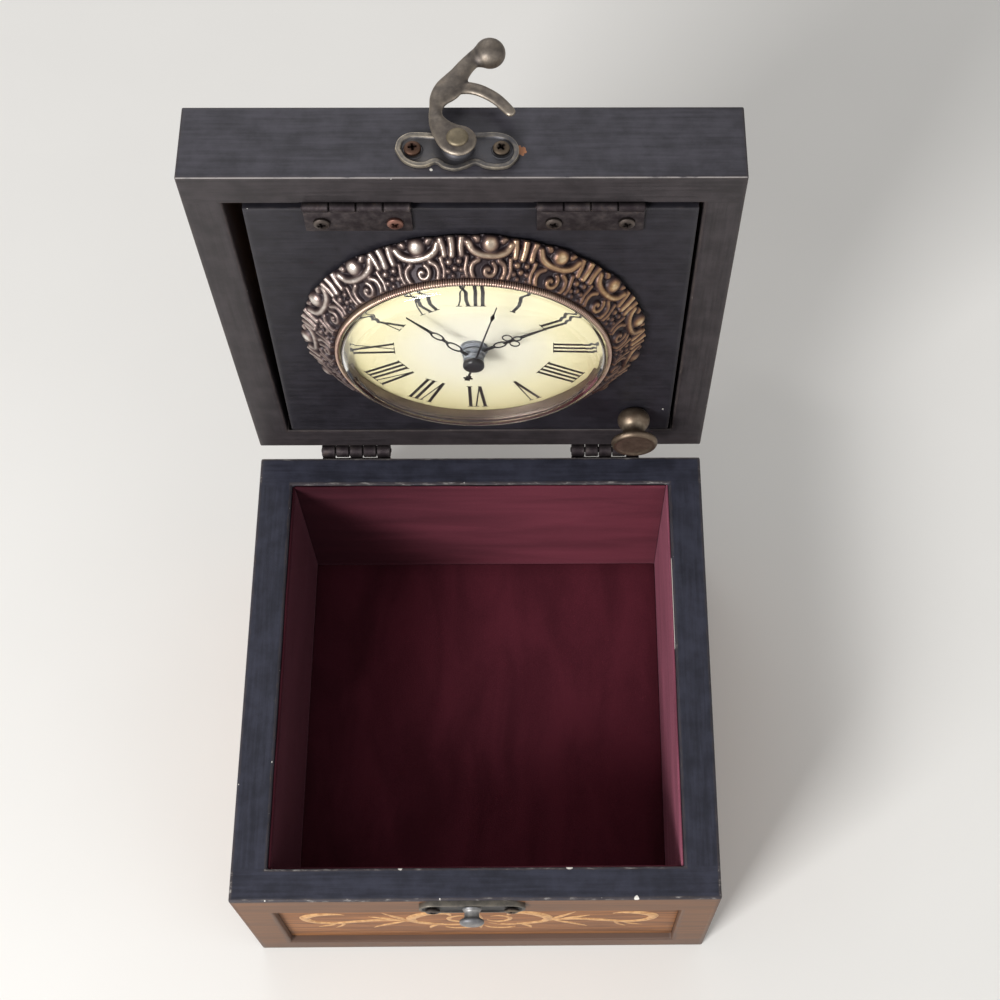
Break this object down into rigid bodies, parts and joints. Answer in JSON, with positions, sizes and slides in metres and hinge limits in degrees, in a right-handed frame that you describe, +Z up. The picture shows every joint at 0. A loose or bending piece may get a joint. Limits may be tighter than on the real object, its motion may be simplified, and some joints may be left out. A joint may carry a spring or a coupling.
{
  "type": "clock diversion safe",
  "caption": "Square wooden box with a velvet lined compartment; its upright lid hides a second space behind a small hinged door that carries a round analogue clock.",
  "frame": {"origin": "middle of the underside of the case, in the plane it stands on", "axes": "+Z up, -Y towards the front with the catch, +Y towards the back with the lid hinges, +X to the right seen from the front; the lid stands open at a right angle at rest"},
  "size_m": [0.155, 0.2098, 0.2417],
  "materials": {
    "painted_wood": "black paint over wood, satin, rubbed and chipped on the edges",
    "panel_wood": "light brown stained wood, satin",
    "velvet": "burgundy velvet on card",
    "aged_brass": "antique brass, darkened and rubbed bright on high spots",
    "dark_steel": "dark bronze plating over steel",
    "gilt_metal": "gold bronze over dark purple black relief",
    "rim_metal": "polished copper gold",
    "clear_lens": "clear polished dome",
    "dial_face": "printed cream, satin",
    "black_metal": "black paint, satin",
    "grey_metal": "zinc plated",
    "black_plastic": "moulded, matt",
    "cell_shell": "plain printed sleeve"
  },
  "bodies": {
    "case": {"front_wall": "painted_wood", "back_wall": "painted_wood", "left_wall": "painted_wood", "right_wall": "painted_wood", "bottom_board": "painted_wood", "front_panel": "panel_wood", "lining_sleeve": "velvet", "lining_floor": "velvet", "catch_plate": "aged_brass", "catch_stud": "aged_brass", "catch_screw_left": "aged_brass", "catch_screw_right": "aged_brass", "case_hinge_leaf_left": "dark_steel", "case_hinge_leaf_right": "dark_steel", "case_hinge_screw_left_left": "dark_steel", "case_hinge_screw_left_right": "dark_steel", "case_hinge_screw_right_left": "dark_steel", "case_hinge_screw_right_right": "dark_steel", "lid_hinge_pin_left": "dark_steel", "lid_hinge_pin_right": "dark_steel"},
    "lid": {"lid_hinge_rail": "painted_wood", "lid_front_rail": "painted_wood", "lid_left_stile": "painted_wood", "lid_right_stile": "painted_wood", "lid_top_board": "panel_wood", "lid_hinge_leaf_left": "dark_steel", "lid_hinge_leaf_right": "dark_steel", "lid_hinge_screw_left_left": "dark_steel", "lid_hinge_screw_left_right": "dark_steel", "lid_hinge_screw_right_left": "dark_steel", "lid_hinge_screw_right_right": "dark_steel", "latch_plate": "aged_brass", "latch_screw_left": "aged_brass", "latch_screw_right": "aged_brass", "latch_rivet": "aged_brass", "door_hinge_frame_leaf_left": "dark_steel", "door_hinge_frame_leaf_right": "dark_steel", "door_hinge_pin_left": "dark_steel", "door_hinge_pin_right": "dark_steel"},
    "door": {"door_panel": "painted_wood", "door_hinge_leaf_left": "dark_steel", "door_hinge_leaf_right": "dark_steel", "door_hinge_screw_left_left": "aged_brass", "door_hinge_screw_left_right": "aged_brass", "door_hinge_screw_right_left": "aged_brass", "door_hinge_screw_right_right": "aged_brass", "door_knob": "aged_brass", "knob_screw": "grey_metal", "clock_skirt": "gilt_metal", "clock_rim": "rim_metal", "clock_lens": "clear_lens", "clock_dial": "dial_face", "movement_case": "black_plastic", "mounting_nut": "grey_metal", "battery": "cell_shell"},
    "hook": {"latch_arm": "aged_brass"},
    "hour": {"hour_hand": "black_metal"},
    "minute": {"minute_hand": "black_metal"},
    "second": {"second_hand": "black_metal"},
    "setter": {"setting_wheel": "black_plastic"}
  },
  "joints": [
    {"name": "lid_hinge", "type": "hinge", "parent": "case", "child": "lid", "pos_m": [0, 0.081, 0.074], "axis": [1, 0, 0], "range_deg": [0, 90]},
    {"name": "door_hinge", "type": "hinge", "parent": "lid", "child": "door", "pos_m": [0, 0.0806, 0.2206], "axis": [1, 0, 0], "range_deg": [-110, 0]},
    {"name": "hook_swing", "type": "hinge", "parent": "lid", "child": "hook", "pos_m": [-0.0012, 0.0908, 0.233], "axis": [0, 0, -1], "range_deg": [-120, 170]},
    {"name": "minute_spin", "type": "hinge", "parent": "door", "child": "minute", "pos_m": [0.0005, 0.0813, 0.155], "axis": [0, 1, 0], "continuous": true},
    {"name": "hour_spin", "type": "hinge", "parent": "door", "child": "hour", "pos_m": [0.0005, 0.0813, 0.155], "axis": [0, 1, 0], "continuous": true},
    {"name": "second_spin", "type": "hinge", "parent": "door", "child": "second", "pos_m": [0.0005, 0.0813, 0.155], "axis": [0, 1, 0], "continuous": true},
    {"name": "setter_spin", "type": "hinge", "parent": "door", "child": "setter", "pos_m": [0.0005, 0.0813, 0.17], "axis": [0, 1, 0], "continuous": true}
  ],
  "couplings": [
    {"joint": "hour_spin", "follows": "minute_spin", "ratio": 0.083333},
    {"joint": "setter_spin", "follows": "minute_spin", "ratio": -0.33333}
  ]
}
